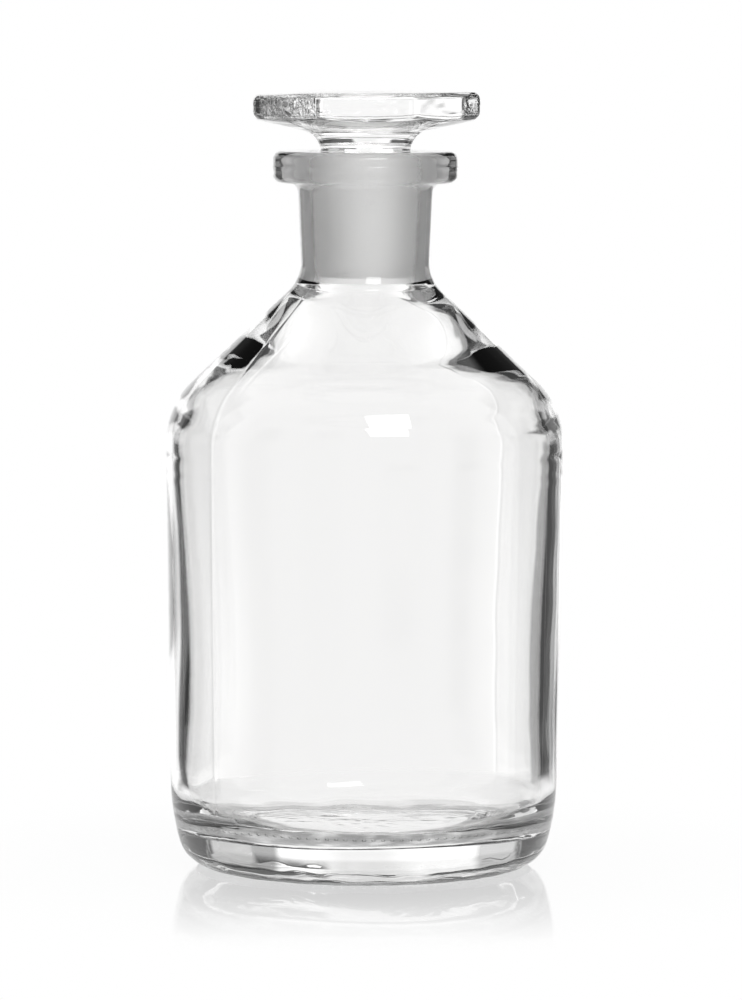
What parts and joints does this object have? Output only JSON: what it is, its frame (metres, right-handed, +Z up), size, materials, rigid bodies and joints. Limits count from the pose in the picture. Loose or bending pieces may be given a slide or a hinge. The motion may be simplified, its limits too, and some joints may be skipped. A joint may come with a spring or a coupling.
{
  "type": "glass reagent bottle with ground stopper",
  "caption": "Narrow-neck clear glass reagent bottle with conical shoulder and flanged ground-joint mouth, closed by a lift-out stopper with a flat octagonal head.",
  "frame": {"origin": "centre of the bearing ring that the bottle stands on", "axes": "+Z up along the bottle's axis, out of the mouth; +X to the right when the stopper's front flat is seen from -Y"},
  "size_m": [0.0858, 0.0858, 0.1674],
  "materials": {
    "clear_glass": "clear, fire-polished blown glass with faint mould seams; ground matt inside the neck",
    "pressed_glass": "clear pressed glass with a ground matt plug"
  },
  "bodies": {
    "bottle": {"bottle": "clear_glass"},
    "stopper": {"stopper": "pressed_glass"}
  },
  "joints": [
    {"name": "stopper_lift", "type": "slide", "parent": "bottle", "child": "stopper", "axis": [0, 0, 1], "range_m": [0, 0.06]}
  ]
}
